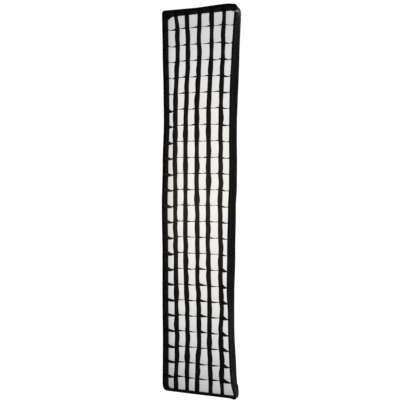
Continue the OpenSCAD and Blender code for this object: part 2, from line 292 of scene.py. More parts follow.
def tube_faces(rings, sides, first=0):
    """The walls and end caps of a tube, from rings of points that start at index first."""
    faces = []
    for i in range(rings - 1):
        near, far = first + i * sides, first + (i + 1) * sides
        for k in range(sides):
            j = (k + 1) % sides
            faces.append((near + k, near + j, far + j, far + k))
    faces.append(tuple(first + k for k in range(sides - 1, -1, -1)))
    last = first + (rings - 1) * sides
    faces.append(tuple(range(last, last + sides)))
    return faces


def tube(name, path, radius, sides):
    """A round cord along a path, with closed ends."""
    verts, uvs = [], []
    for (p, side, top), s in zip(frames_along(path), lengths(path)):
        for a in round_about(sides):
            verts.append(p + radius * (math.cos(a) * side + math.sin(a) * top))
            uvs.append((a * radius, s))
    return make_object(name, verts, tube_faces(len(path), sides), uvs)


# Pitch and length of the stitches, and the radius of their thread
STITCH_PITCH = 4 * MM
STITCH = 2.8 * MM
THREAD_R = 0.3 * MM


def stitches(name, path, normals):
    """A row of thread stitches, each a short six-sided bead sunk in the cloth."""
    along = lengths(path)
    verts, faces = [], []
    sides = 6
    for c in range(int(along[-1] / STITCH_PITCH)):
        start = (c + 0.5) * STITCH_PITCH - STITCH / 2
        stations = []
        for share, swell in ((0.0, 0.3), (0.25, 1.0), (0.75, 1.0), (1.0, 0.3)):
            s = start + STITCH * share
            i = min(len(path) - 2, max(0, int(np.searchsorted(along, s)) - 1))
            t = (s - along[i]) / max(1e-9, along[i + 1] - along[i])
            p = path[i].lerp(path[i + 1], t)
            n = normals[i].lerp(normals[i + 1], t).normalized()
            ahead = (path[i + 1] - path[i]).normalized()
            side = ahead.cross(n).normalized()
            stations.append((p + n * THREAD_R * (swell - 0.7), side, n, swell))
        faces += tube_faces(len(stations), sides, len(verts))
        for p, side, n, swell in stations:
            verts += [p + THREAD_R * swell * (math.cos(a) * side + math.sin(a) * n)
                      for a in round_about(sides)]
    return make_object(name, verts, faces)


# ---- materials


MATERIALS = {}


class Shader:
    """A Principled material, kept in MATERIALS, and short ways to wire nodes into it."""

    def __init__(self, name, color, roughness, **sockets):
        self.material = bpy.data.materials.new(name)
        self.material.use_nodes = True
        MATERIALS[name] = self.material
        self.tree = self.material.node_tree
        self.bsdf = self.tree.nodes["Principled BSDF"]
        self.bsdf.inputs["Base Color"].default_value = (*color, 1)
        self.bsdf.inputs["Roughness"].default_value = roughness
        for key, value in sockets.items():
            self.bsdf.inputs[key.replace("_", " ")].default_value = value
        self.color = color
        self.normal = None

    def node(self, kind, **settings):
        made = self.tree.nodes.new("ShaderNode" + kind)
        for key, value in settings.items():
            if hasattr(made, key):
                setattr(made, key, value)
            else:
                made.inputs[key.replace("_", " ")].default_value = value
        return made

    def link(self, out, into):
        self.tree.links.new(out, into)

    def coords(self, kind="Object", scale=(1, 1, 1)):
        where = self.node("TexCoord")
        mapping = self.node("Mapping", Scale=scale)
        self.link(where.outputs[kind], mapping.inputs["Vector"])
        return mapping.outputs["Vector"]

    def noise(self, scale, detail, where=None):
        made = self.node("TexNoise", Scale=scale, Detail=detail)
        self.link(where or self.coords(), made.inputs["Vector"])
        return made.outputs["Fac"]

    def wave(self, direction, pitch):
        """Bands with one ridge every pitch metres of cloth."""
        made = self.node("TexWave", wave_type="BANDS", bands_direction=direction,
                         Scale=2 * math.pi / (20 * pitch))
        self.link(self.coords("UV"), made.inputs["Vector"])
        return made.outputs["Fac"]

    def math(self, operation, a, b):
        made = self.node("Math", operation=operation)
        for socket, value in zip(made.inputs, (a, b)):
            if isinstance(value, (int, float)):
                socket.default_value = value
            else:
                self.link(value, socket)
        return made.outputs[0]

    def times(self, a, b):
        return self.math("MULTIPLY", a, b)

    def bump(self, height, distance, strength=1.0):
        made = self.node("Bump", Strength=strength, Distance=distance)
        self.link(height, made.inputs["Height"])
        if self.normal:
            self.link(self.normal, made.inputs["Normal"])
        self.normal = made.outputs["Normal"]
        self.link(self.normal, self.bsdf.inputs["Normal"])

    def weave(self, pitch, depth, strength):
        """A plain weave's bump."""
        self.bump(self.times(self.wave("X", pitch), self.wave("Y", pitch)), depth, strength)

    def distance(self, where):
        """How far a point is from the frame's origin."""
        made = self.node("VectorMath", operation="LENGTH")
        self.link(where, made.inputs[0])
        return made.outputs["Value"]

    def axes(self):
        """The X, Y and Z of the point in the object's own frame."""
        where = self.node("TexCoord")
        axis = self.node("SeparateXYZ")
        self.link(where.outputs["Object"], axis.inputs["Vector"])
        return axis.outputs

    def map_range(self, value, from_low, from_high, low, high):
        made = self.node("MapRange", From_Min=from_low, From_Max=from_high, To_Min=low,
                         To_Max=high)
        self.link(value, made.inputs["Value"])
        return made.outputs["Result"]

    def roughen(self, factor, low, high):
        """Drives the roughness between low and high by a texture."""
        self.link(self.map_range(factor, 0.3, 0.7, low, high), self.bsdf.inputs["Roughness"])

    def tint(self, factor, dark, light, socket="Base Color", low=0.3, high=0.7):
        made = self.node("ValToRGB")
        for stop, place, color in zip(made.color_ramp.elements, (low, high), (dark, light)):
            stop.position = place
            stop.color = (*color, 1)
        self.link(factor, made.inputs["Fac"])
        self.link(made.outputs["Color"], self.bsdf.inputs[socket])

    def vary(self, factor, dark, light, low=0.3, high=0.7):
        """Tints by a texture between two multiples of the material's own colour."""
        shades = [tuple(min(1.0, c * share) for c in self.color) for share in (dark, light)]
        self.tint(factor, *shades, low=low, high=high)


def cloth(name, color, roughness, pitch, sheen, crease=0.0, weave_depth=0.12, variation=0.25):
    """Woven cloth: plain weave bump, faint colour variation, and soft creases."""
    s = Shader(name, color, roughness, Sheen_Weight=sheen, Sheen_Roughness=0.4,
               Specular_IOR_Level=0.2)
    s.weave(pitch, weave_depth * pitch, 0.6)
    if crease:
        s.bump(s.noise(28, 3), crease, 0.7)
    s.vary(s.noise(60, 5), 1 - variation, 1 + variation)
    s.roughen(s.noise(11, 3), roughness - 0.06, roughness + 0.06)


def ribbed(name, color, roughness, pitch, direction="Y", sheen=0.03):
    """Webbing, binding or elastic: ribs across the tape and fuzz between them."""
    s = Shader(name, color, roughness, Sheen_Weight=sheen, Sheen_Roughness=0.5,
               Specular_IOR_Level=0.15)
    ribs = s.wave(direction, pitch)
    s.bump(ribs, 0.25 * pitch, 0.8)
    s.bump(s.noise(900, 2), 0.05 * MM, 0.5)
    s.vary(ribs, 0.6, 1.35, low=0.1, high=0.9)


def pile(name, color):
    """Hook-and-loop pile: a dense fuzz."""
    s = Shader(name, color, 0.95, Sheen_Weight=0.06, Sheen_Roughness=0.6,
               Specular_IOR_Level=0.1)
    fuzz = s.noise(700, 6)
    s.bump(fuzz, 0.8 * MM, 1.0)
    s.vary(fuzz, 0.4, 1.9)


def cast_paint(name, color):
    """Satin powder coat on a casting, worn to lighter metal at its edges."""
    s = Shader(name, color, 0.42, Metallic=0.0, Specular_IOR_Level=0.5, Coat_Weight=0.15)
    s.bump(s.noise(1400, 2), 0.06 * MM, 0.5)
    edges = s.node("NewGeometry").outputs["Pointiness"]
    patchy = s.math("ADD", s.times(s.noise(300, 4), 0.16), 0.92)
    s.vary(s.times(edges, patchy), 1, 2.6, low=0.57, high=0.68)
    s.roughen(s.noise(90, 4), 0.36, 0.52)


def turned_metal(name, color, roughness, pitch):
    """Machined metal with fine rings left by the lathe round the Y axis."""
    s = Shader(name, color, roughness, Metallic=1.0)
    reach = s.distance(s.coords("Object", (1, 0.35, 1)))
    rings = s.math("SINE", s.times(reach, 2 * math.pi / pitch), 0)
    s.bump(rings, 0.012 * MM, 0.5)
    s.bump(s.noise(500, 4), 0.02 * MM, 0.4)
    s.roughen(s.noise(140, 5), roughness - 0.08, roughness + 0.1)
    s.vary(s.noise(60, 4), 0.88, 1.05)


def plastic(name, color, roughness):
    """Moulded plastic with a fine spark-eroded texture."""
    s = Shader(name, color, roughness, Specular_IOR_Level=0.45)
    s.bump(s.noise(2200, 3), 0.05 * MM, 0.6)
    s.roughen(s.noise(200, 3), roughness - 0.06, roughness + 0.08)
    s.vary(s.noise(120, 4), 0.8, 1.25)


def silver_lining():
    """Crinkled silver coating on the inside of the shell."""
    s = Shader("silver_lining", (0.72, 0.73, 0.74), 0.34, Metallic=0.85)
    s.bump(s.noise(260, 3), 0.5 * MM, 0.8)
    s.bump(s.noise(40, 4), 1.5 * MM, 0.6)
    s.tint(s.noise(300, 3), (0.6, 0.61, 0.62), (0.82, 0.83, 0.84))
    s.roughen(s.noise(90, 3), 0.26, 0.42)


# The glow painted on the diffuser, an emission in place of the lamp inside the box: its peak at
# the lamp's height, and how much it loses one metre above or below (as the square of the
# distance) and at the long edges, where the loss is painted shade
PAINTED_GLOW_PEAK = 0.83
PAINTED_GLOW_CENTRE = 0.03
PAINTED_GLOW_LOSS = 1.0
PAINTED_GLOW_EDGE_LOSS = 0.17
PAINTED_GLOW_TOP_EDGE_LOSS = 0.09
# A faint warm glow painted on the grid's cloth for the lamp's light that would soak through
# it, and the height at which it has halved
PAINTED_SOAK_GLOW = 0.014
PAINTED_SOAK_REACH = 0.17


def painted_glow_cloth(name, color):
    """White translucent ripstop with a painted glow in place of the lamp behind it: brightest
    and warmest at the lamp, with painted shade at the long edges.
    """
    s = Shader(name, color, 0.85, Sheen_Weight=0.05, Specular_IOR_Level=0.15)
    s.weave(0.5 * MM, 0.05 * MM, 0.5)
    rip = s.math("MAXIMUM", *(s.math("POWER", s.wave(way, 5 * MM), 12) for way in "XY"))
    s.bump(rip, 0.08 * MM, 0.5)
    axis = s.axes()
    away = s.math("SUBTRACT", axis["Z"], PAINTED_GLOW_CENTRE)
    loss = s.times(s.times(away, away), PAINTED_GLOW_LOSS)
    fall = s.math("SUBTRACT", PAINTED_GLOW_PEAK, loss)
    # Painted shade: the glow is made darker towards the long edges, and less so near the top.
    off = s.math("ABSOLUTE", s.math("SUBTRACT", axis["X"], 0.02), 0)
    side = s.math("POWER", s.math("DIVIDE", off, HALF_W), 6)
    painted_edge_shade = s.map_range(axis["Z"], 0.15, 0.45, PAINTED_GLOW_EDGE_LOSS, PAINTED_GLOW_TOP_EDGE_LOSS)
    edge = s.math("SUBTRACT", 1.0, s.times(side, painted_edge_shade))
    # Painted streaks of uneven light in the painted glow.
    painted_glow_streaks = s.times(s.math("SUBTRACT", s.noise(
        1.0, 4, s.coords("Object", (260, 1, 6))), 0.5), 0.10)
    level = s.math("ADD", s.times(fall, edge), painted_glow_streaks)
    s.link(level, s.bsdf.inputs["Emission Strength"])
    # A painted warm tint of the painted glow, warmest where it is brightest.
    s.tint(fall, (1.0, 1.0, 1.0), (1.0, 0.965, 0.925), socket="Emission Color",
           low=0.63, high=0.83)


def grid_cloth():
    """The grid's matte double nylon, painted lighter than the border's copy; a faint warm
    glow painted on it stands for the lamp's light that soaks through.
    """
    # Painted light: this colour is lighter than the border's copy of the same cloth, for the
    # diffuser's light on the strips.
    color = (0.015, 0.0147, 0.014)
    s = Shader("grid_cloth", color, 0.85, Sheen_Weight=0.0, Specular_IOR_Level=0.08)
    s.weave(0.6 * MM, 0.08 * MM, 0.6)
    s.vary(s.noise(45, 5), 0.7, 1.3)
    # Painted glow: an emission, brightest at mid height, for the lamp's light soaking through the
    # cloth.
    axis = s.axes()
    away = s.math("DIVIDE", axis["Z"], PAINTED_SOAK_REACH)
    bell = s.math("POWER", 2.0, s.times(s.times(away, away), -1.0))
    s.link(s.times(bell, PAINTED_SOAK_GLOW), s.bsdf.inputs["Emission Strength"])
    s.bsdf.inputs["Emission Color"].default_value = (1.0, 0.78, 0.62, 1)


cloth("lip_cloth", (0.008, 0.0082, 0.0095), 0.5, 0.45 * MM, 0.01, crease=1.2 * MM)
cloth("shell_cloth", (0.012, 0.012, 0.0135), 0.55, 0.6 * MM, 0.03, crease=1.5 * MM)
ribbed("binding", (0.020, 0.020, 0.021), 0.85, 1.1 * MM, sheen=0.05)
ribbed("webbing", (0.014, 0.014, 0.015), 0.8, 1.2 * MM)
ribbed("white_webbing", (0.72, 0.72, 0.70), 0.8, 1.1 * MM)
ribbed("elastic", (0.015, 0.015, 0.016), 0.85, 1.4 * MM, "X")
pile("hook_and_loop", (0.016, 0.016, 0.017))
pile("felt", (0.03, 0.03, 0.03))
cloth("baffle_cloth", (0.80, 0.80, 0.79), 0.85, 0.5 * MM, 0.05, variation=0.03)
painted_glow_cloth("diffuser_cloth", (0.80, 0.80, 0.79))
grid_cloth()
# The same grid cloth for the border, darker than the strips' copy: a shaded and a lit copy of one
# cloth.
cloth("grid_border_shaded_copy", (0.006, 0.006, 0.006), 0.85, 0.6 * MM, 0.0)
plastic("thread", (0.03, 0.03, 0.032), 0.5)
cast_paint("ring_casting", (0.022, 0.022, 0.024))
turned_metal("collar_aluminium", (0.78, 0.79, 0.80), 0.32, 0.35 * MM)
turned_metal("bright_steel", (0.62, 0.62, 0.63), 0.3, 0.25 * MM)
plastic("knob_plastic", (0.016, 0.016, 0.017), 0.55)
plastic("rod_steel", (0.02, 0.02, 0.021), 0.35)
silver_lining()


# Thickness of each kind of cloth
LIP_T = 0.9 * MM
BINDING_T = 0.6 * MM
SHEET_T = 0.4 * MM
TAPE_T = 1.1 * MM
WEBBING_T = 1.0 * MM
COLUMN_T = 1.1 * MM
STRIP_T = 0.9 * MM
ELASTIC_T = 0.8 * MM
TAB_T = 0.5 * MM
SHELL_T = 0.7 * MM


def finish_piece(obj, slot, replaces=(), material=None, body="softbox"):
    """Gives a piece the material named by its slot (or the one given) and its body, and hides the
    CAD nodes it stands for.
    """
    obj.data.materials.append(MATERIALS[material or slot])
    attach(obj, body)
    if replaces:
        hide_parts(*replaces)
    return obj


def cloth_piece(name, rows, thickness, slot, replaces, material=None, body="softbox",
                offset=0.0, closed=False):
    """A sheet through rows of points, with its thickness, body and the material of its slot."""
    obj = thicken(cloth_grid(name, rows, closed), thickness, offset)
    return finish_piece(obj, slot, replaces, material, body)


# ---- the face's outline

OUTWARD = {"right": (1, 0), "top": (0, 1), "left": (-1, 0), "bottom": (0, -1)}
LONG_SIDES = ("right", "left")


def by_length(side, long, short):
    return long if side in LONG_SIDES else short


def rounded_wall(side, inset, steps=48, least=LEAST_R):
    """(x, z, outward x, outward z) along one wall, with half of the corner at each end."""
    sx, sz = OUTWARD[side]
    out, along = Vector((sx, sz)), Vector((abs(sz), abs(sx)))
    points = []
    for turn in (-1, 1):
        radius, cx, cz = corner_arc(sx or turn, sz or turn, inset, least)
        arc = []
        for i in range(7):
            a = math.radians(45 * i / 6)
            n = out * math.cos(a) + along * (turn * math.sin(a))
            arc.append((cx + radius * n.x, cz + radius * n.y, n.x, n.y))
        points.append(arc)
    first, last = points[0][::-1], points[1]
    (x0, z0, _, _), (x1, z1, _, _) = first[-1], last[0]
    return first + [(mix(x0, x1, i / steps), mix(z0, z1, i / steps), out.x, out.y)
                    for i in range(1, steps)] + last


def wall_rows(side, section, steps=48, least=LEAST_R):
    """Rows of points for a section of (inset, depth) pairs swept along one wall."""
    paths = [rounded_wall(side, inset, steps, least) for inset, _ in section]
    return [[face_point(x, z, depth, inset) for (x, z, _, _), (inset, depth) in zip(row, section)]
            for row in zip(*paths)]


def lip_wall(side):
    """One wall of the lip: smooth nylon with a few soft puckers along its seams."""
    section = [(0.5 * MM, mix(0.3 * MM, LIP_DEPTH, k / 8)) for k in range(9)]
    rows = wall_rows(side, section, by_length(side, 120, 40))
    out_x, out_z = OUTWARD[side]
    outward = Vector((out_x, 0, out_z))
    for row in rows:
        for k, p in enumerate(row):
            middle = math.sin(math.pi * k / 8)
            swell = ripple(p.x * 14, p.z * 14, k * 0.12) * 1.1 * MM * middle
            row[k] = p + outward * (swell + 0.4 * MM * middle)
    obj = cloth_piece(f"lip_{side}_cloth", rows, LIP_T, "lip_cloth", [f"lip_{side}"])
    2 * by_length(side, HALF_H, HALF_W)


BINDING_SECTION = [(-0.8, 8.0), (-1.0, 5.0), (-1.0, 2.0), (-0.8, 0.3), (-0.1, -0.8), (0.9, -1.2),
                   (1.7, -0.8), (2.2, 0.2), (2.3, 1.8), (2.2, 3.6)]


def binding(side):
    """Ribbed tape folded over the lip's front edge, with one row of stitches outside."""
    section = [(i * MM, d * MM) for i, d in BINDING_SECTION]
    steps = by_length(side, 150, 50)
    rows = wall_rows(side, section, steps)
    for row in rows:
        for k, p in enumerate(row):
            p.y += 0.25 * MM * ripple(p.x * 60, p.z * 60, k * 0.3)
    inward = 1.0 if side in ("right", "bottom") else -1.0
    cloth_piece(f"binding_{side}_tape", rows, BINDING_T, "binding", [f"binding_{side}"],
                offset=inward)
    path = [row[0] for row in wall_rows(side, [(-0.9 * MM, 6.4 * MM)], steps)]
    normals = [Vector((x, 0, z)) for _, _, x, z in rounded_wall(side, 0, steps)]
    thread = stitches(f"binding_stitches_{side}", path, normals)
    finish_piece(thread, "binding", material="thread")


for wall in OUTWARD:
    lip_wall(wall)
    binding(wall)


# ---- diffusers

def front_diffuser():
    """The white sheet: pulled tight, with fine creases down it."""
    x_out = HALF_W - DIFFUSER_INSET
    z_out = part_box("front_diffuser")[1].z

    def point(up, across):
        x, z = mix(-x_out, x_out, across), mix(-z_out, z_out, up)
        p = face_point(x, z, DIFFUSER_DEPTH, DIFFUSER_INSET, BORDER_R)
        edge = min(1.0, (x_out - abs(x)) / 0.02, (z_out - abs(z)) / 0.02)
        creases = ripple(x * 95, z * 2.2) * 0.8 + ripple(x * 40, z * 5, 3.1) * 0.9
        p.y += edge * (creases * 0.45 * MM - 0.1 * MM)
        return p

    obj = cloth_piece("front_diffuser_cloth", sheet_rows(240, 60, point), SHEET_T,
                      "diffuser_cloth", ["front_diffuser"], body="front_diffuser", offset=-1.0)


BAFFLE_LOW, BAFFLE_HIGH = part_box("inner_baffle")
BAFFLE_Y = (BAFFLE_LOW.y + BAFFLE_HIGH.y) / 2


def inner_baffle():
    low, high = BAFFLE_LOW, BAFFLE_HIGH

    def point(up, across):
        x, z = mix(low.x, high.x, across), mix(low.z, high.z, up)
        slack = (1 - (x / high.x) ** 2) * (1 - (z / high.z) ** 2)
        return Vector((x, BAFFLE_Y + slack * 3 * MM + ripple(x * 20, z * 8) * 0.8 * MM, z))

    obj = cloth_piece("inner_baffle_cloth", sheet_rows(60, 16, point), SHEET_T,
                      "baffle_cloth", ["inner_baffle"])


front_diffuser()
inner_baffle()


# ---- tapes, hem, straps


def tape_rings(node, body):
    """One hook or loop tape all the way round inside the lip, as four walls."""
    low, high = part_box(node)
    inset = HALF_W - high.x + TAPE_T / 2
    front = low.y - FRONT - crown(0.0)
    back = high.y - FRONT
    for side in OUTWARD:
        rows = wall_rows(side, [(inset, mix(front, back, k / 4)) for k in range(5)],
                         by_length(side, 100, 30), BORDER_R)
        cloth_piece(f"{node}_{side}", rows, TAPE_T, "hook_and_loop", [node], body=body)


tape_rings("lip_loop_tape", "softbox")
tape_rings("diffuser_tape", "front_diffuser")
tape_rings("grid_hook_tape", "grid")


def baffle_hem():
    """A tape folded over the inner baffle's edge all round, with mitred corners."""
    low, high = BAFFLE_LOW, BAFFLE_HIGH
    section = [(-4.0, 0.7), (-1.0, 0.9), (0.5, 0.5), (0.5, -0.5), (-1.0, -0.9), (-4.0, -0.7)]
    corners = [(high.x, low.z), (high.x, high.z), (low.x, high.z), (low.x, low.z)]
    for n in range(4):
        (x0, z0), (x1, z1) = corners[n], corners[(n + 1) % 4]

        def point(t, out, thick):
            x = mix(x0, x1, t) * (1 + out * MM / high.x)
            z = mix(z0, z1, t) * (1 + out * MM / high.z)
            return Vector((x, BAFFLE_Y + thick * MM + 0.3 * MM * ripple(x * 30, z * 30), z))

        rows = [[point(i / 40, *part) for part in section] for i in range(41)]
        cloth_piece(f"baffle_hem_{n + 1}", rows, TAB_T, "white_webbing", ["baffle_hem"],
                    offset=1.0)


def baffle_straps():
    """Webbing from each corner of the baffle to the seam, curved by its own weight."""
    near, far = BAFFLE_HIGH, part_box("baffle_straps")[1]
    y = BAFFLE_Y + 1.2 * MM
    for corner, sx, sz in CORNERS:
        start = Vector((sx * (near.x + 1 * MM), y, sz * (near.z + 1 * MM)))
        end = Vector((sx * (far.x - 9 * MM), y, sz * (far.z - 2 * MM)))
        ahead = (end - start).normalized()
        side = Vector((ahead.z, 0, -ahead.x))

        def point(t, across):
            sag = Vector((0, -1.6 * MM * math.sin(math.pi * t), 0))
            return start.lerp(end, t) + sag + side * (8 * MM * (2 * across - 1))

        cloth_piece(f"baffle_strap_{corner}", sheet_rows(24, 4, point), WEBBING_T, "webbing",
                    ["baffle_straps"])


def diffuser_pull_tab():
    """A short white tab: it comes out past the grid and folds over on to the right wall."""
    fold = [(3.0, 9.0), (3.0, 5.0), (3.0, 1.0), (3.0, -1.5), (2.4, -2.6), (0.6, -2.9),
            (-1.6, -2.4), (-2.6, -0.6), (-2.8, 2.0), (-2.7, 5.0), (-2.4, 8.0), (-2.3, 10.5),
            (-2.7, 12.5)]
    z0 = HALF_H - 23 * MM
    rows = [[face_point(HALF_W - inset * MM, z0 + u * 2.2 * MM + 0.25 * MM * i, depth * MM)
             for u in (-1, -0.5, 0, 0.5, 1)] for i, (inset, depth) in enumerate(fold)]
    obj = cloth_grid("diffuser_pull_tab", rows)
    smooth = obj.modifiers.new("smooth", "SUBSURF")
    smooth.levels = smooth.render_levels = 1
    thicken(obj, TAB_T)
    finish_piece(obj, "white_webbing", body="front_diffuser")


CORNERS = [("top_left", -1, 1), ("top_right", 1, 1), ("bottom_left", -1, -1),
           ("bottom_right", 1, -1)]
baffle_hem()
baffle_straps()
diffuser_pull_tab()


# ---- the grid


# How far each column strip has been sewn off its place on the pattern, by height
COLUMN_OFFSET = {
    1: [(-0.57, -4), (-0.50, 0), (-0.13, 1.5), (0.0, 0.5), (0.17, -5), (0.33, -5), (0.45, 3),
        (0.535, 3), (0.585, -6)],
    2: [(-0.57, -1.5), (-0.42, 0), (-0.25, -2), (-0.13, -3), (0.0, -2), (0.2, -3), (0.4, 0),
        (0.5, -0.5), (0.58, -6)],
    3: [(-0.57, -6), (-0.52, -4), (-0.46, 3), (-0.3, 0), (-0.15, 2.5), (0.05, -0.5), (0.3, -1),
        (0.4, 2.5), (0.48, -2), (0.58, 2)],
    4: [(-0.57, 5), (-0.47, 0.5), (-0.35, 1.5), (-0.22, 3), (-0.08, -2), (0.1, 0.5),
        (0.28, -0.5), (0.4, 3), (0.58, 5)],
    5: [(-0.57, 4), (-0.50, 8), (-0.44, 6), (-0.33, 10), (-0.20, 9), (0.0, 3), (0.12, 1.5),
        (0.30, 2.5), (0.45, 5), (0.58, 6)],
}
# How far the cross strips have ridden up from their even spacing, by height
ROW_RISE = [(-0.57, 8), (-0.52, 4), (-0.40, 3), (-0.30, 0), (-0.12, -1), (0.15, -1.5),
            (0.30, 0.5), (0.48, 1.5), (0.56, 5)]


# How far the top band leans in, in thousandths of its lean in the CAD, by x; and how far
# down a column strip is drawn up to it
TOP_HOLD = [(-0.16, 1250), (-0.11, 950), (0.0, 850), (0.1, 1000), (0.16, 1100)]
COLUMN_HEAD = 30 * MM


def column_x(c, z):
    """Where column strip c runs: nearly straight, wandering a little between the rows."""
    base = (c - COLUMNS / 2) * CELL
    return base + through(COLUMN_OFFSET[c], z) + 1.0 * MM * ripple(c * 7.3, z * 6.1)


def row_z(k):
    """Height of cross strip k where it is sewn to the column strips."""
    even = ROW_Z - (k - 1) * CELL
    return even + through(ROW_RISE, even)


CROSSINGS = [row_z(k) for k in range(1, ROWS)]


def cell_at(z):
    """The row of cells that a height is in, and how far down it is there from 0 to 1."""
    levels = [CROSSINGS[0] + CELL] + CROSSINGS + [CROSSINGS[-1] - CELL]
    for k in range(ROWS):
        if z >= levels[k + 1]:
            return k + 1, min(1.0, max(0.0, (levels[k] - z) / (levels[k] - levels[k + 1])))
    return ROWS, 1.0


def top_lean(x):
    """How far the back edge of the top band hangs below its front edge."""
    return TOP_LEAN * through(TOP_HOLD, x)


def grid_column(c):
    """A column strip: pinned at each crossing, with its two edges bulging in between."""
    rng = random.Random(100 + c)
    swells = [(rng.uniform(-4.2, 2.4), rng.uniform(-2.4, 4.2), rng.uniform(0.7, 1.7))
              for _ in range(ROWS + 1)]

    def point(up, back):
        z = mix(GRID_BOTTOM, GRID_TOP, up)
        k, phase = cell_at(z)
        front_swell, back_swell, skew = swells[k]
        arch = math.sin(math.pi * phase ** skew) ** 1.4
        x = column_x(c, z) + mix(front_swell, back_swell, back) * arch * MM
        meet = HALF_H - BAND_INSET - BAND_T - top_lean(x) * back
        z += (meet - GRID_TOP) * max(0.0, (z - GRID_TOP) / COLUMN_HEAD + 1) ** 1.5
        return face_point(x, z, mix(GRID_FRONT, GRID_BACK, back))

    obj = cloth_piece(f"grid_column_strip_{c}", sheet_rows(ROWS * 10, 4, point), COLUMN_T,
                      "grid_cloth", [f"grid_column_{c}"], body="grid")


def row_shape(k, c):
    """How a cell's stretch of cross strip k hangs, in mm: its sag, how much lower its front
    edge lies, how far its right end is drawn up in front and its left end behind, and how
    far it falls from left to right."""
    rng = random.Random(1000 * k + c)
    sag = rng.uniform(0.5, 2.6)
    lag = rng.uniform(-0.6, 0.8)
    right_up = rng.uniform(1.0, 5.0)
    left_up = rng.uniform(0.0, 2.0)
    fall = 0.0
    if c == 1:
        right_up = left_up = 0.0
        sag += 2.5 if k <= 16 else 0.5
        fall = rng.uniform(1.5, 3.5) if k <= 17 else rng.uniform(3.0, 5.5)
        if 5 < k < 19:
            lag += rng.uniform(4.5, 6.5)
        elif k >= 19:
            lag += rng.uniform(2.5, 4.5)
    if c == 6:
        right_up *= 0.3
        sag += 1.5
        fall = 3.0
        if 2 <= k <= 7:
            lag += 3.2 if k != 3 and k != 6 else 1.2
        if k >= 16:
            left_up += rng.uniform(4.0, 8.5)
    if (k, c) == (3, 5):
        right_up, lag = 6.0, 3.5
    if c == 4 and 16 <= k <= 20:
        left_up += rng.uniform(3.0, 6.0)
    return sag, lag, right_up, left_up, fall


def grid_row(k):
    """A cross strip, sagging between the columns it is sewn to."""
    z0 = row_z(k)
    reach = HALF_W - BAND_INSET - BAND_T - 0.5 * MM
    knots = [-reach] + [column_x(c, z0) for c in range(1, COLUMNS)] + [reach]
    rows = []
    steps = 12
    for c in range(1, COLUMNS + 1):
        sag, lag, right_up, left_up, fall = row_shape(k, c)
        for i in range(steps + (c == COLUMNS)):
            t = i / steps
            x = mix(knots[c - 1], knots[c], t)
            hang = (4 * t * (1 - t)) ** 0.8
            flat = hang ** 0.3
            row = []
            for back in (0, 0.25, 0.5, 0.75, 1):
                drop = sag * hang + lag * (1 - back) * flat + fall * (t if c > 1 else t - 0.3)
                drop -= right_up * t ** 5 * (1 - back) + left_up * (1 - t) ** 1.6 * back
                p = face_point(x, z0, mix(GRID_FRONT, GRID_BACK, back))
                p.z -= drop * MM
                row.append(p)
            rows.append(row)
    obj = cloth_piece(f"grid_row_strip_{k}", rows, STRIP_T, "grid_cloth", ["grid_row_strips"],
                      body="grid")


def grid_band(side):
    """The grid's border: a band on edge all round, with its top leaning in."""
    inset = BAND_INSET + BAND_T / 2
    section = [(inset, mix(GRID_FRONT, GRID_BACK, k / 6)) for k in range(7)]
    rows = wall_rows(side, section, by_length(side, 120, 40), BORDER_R)
    for row in rows:
        for k, p in enumerate(row):
            if side == "top":
                p.z -= top_lean(p.x) * k / 6
                if k == 0:
                    p.z += 0.9 * MM
                    p.y -= 0.4 * MM
            elif side == "left":
                level, phase = cell_at(p.z)
                rng = random.Random(level)
                roll = rng.uniform(4.5, 6.5) if 5 <= level <= 12 else rng.uniform(1.0, 3.0)
                p.x += roll * MM * phase ** 1.4 * (1 - phase ** 10) * (1 - k / 6)
    # The band takes the darker, shaded copy of the grid cloth.
    obj = cloth_piece(f"grid_band_{side}_cloth", rows, STRIP_T, "grid_cloth",
                      [f"grid_band_{side}"], "grid_border_shaded_copy", body="grid")
    2 * by_length(side, HALF_H, HALF_W)


for wall in OUTWARD:
    grid_band(wall)
for c in range(1, COLUMNS):
    grid_column(c)
for k in range(1, ROWS):
    grid_row(k)


# ---- shell and rods

# How far the shell's cloth hollows in between its edges, as a share of its width
SHELL_HOLLOW = 0.035
SEAM_START = Vector((SEAM_XY, THROAT_Y, SEAM_XY))
SEAM_END = Vector((HALF_W - 10 * MM, FRONT + LIP_DEPTH + 5 * MM, HALF_H - 8 * MM))


def corner_path(a, b, t, sx, sz, tip=0.0):
    """A point t of the way from a to b, in one of the four corners: rods and seams give way
    with the face's edge, more and more towards their ends; a rod comes back to its tip."""
    p = a.lerp(b, t) + Vector((0, ROD_BOW * 4 * t * (1 - t), 0))
    shift = give(sx * HALF_W, sz * p.z) * t * t * (1 - tip * ramp((t - 0.75) / 0.25))
    return Vector((sx * p.x + GIVE_RIGHT * shift, p.y + GIVE_BACK * shift, sz * p.z))


def seam(t, sx, sz):
    return corner_path(SEAM_START, SEAM_END, t, sx, sz)


def seam_at(z, sx):
    t = (abs(z) - SEAM_START.z) / (SEAM_END.z - SEAM_START.z)
    return seam(t, sx, math.copysign(1, z))


def pleats(angle):
    """Pleats of uneven width round the throat, from -1 to 1."""
    return math.sin(44 * angle + 1.5 * math.sin(5 * angle))


def gathers(p):
    """Small pleats that run out from the throat and die away."""
    away = math.hypot(p.x, p.z) - THROAT_R
    fade = math.exp(-max(0.0, away) / 0.035)
    return fade * 0.9 * MM * pleats(math.atan2(p.z, p.x))


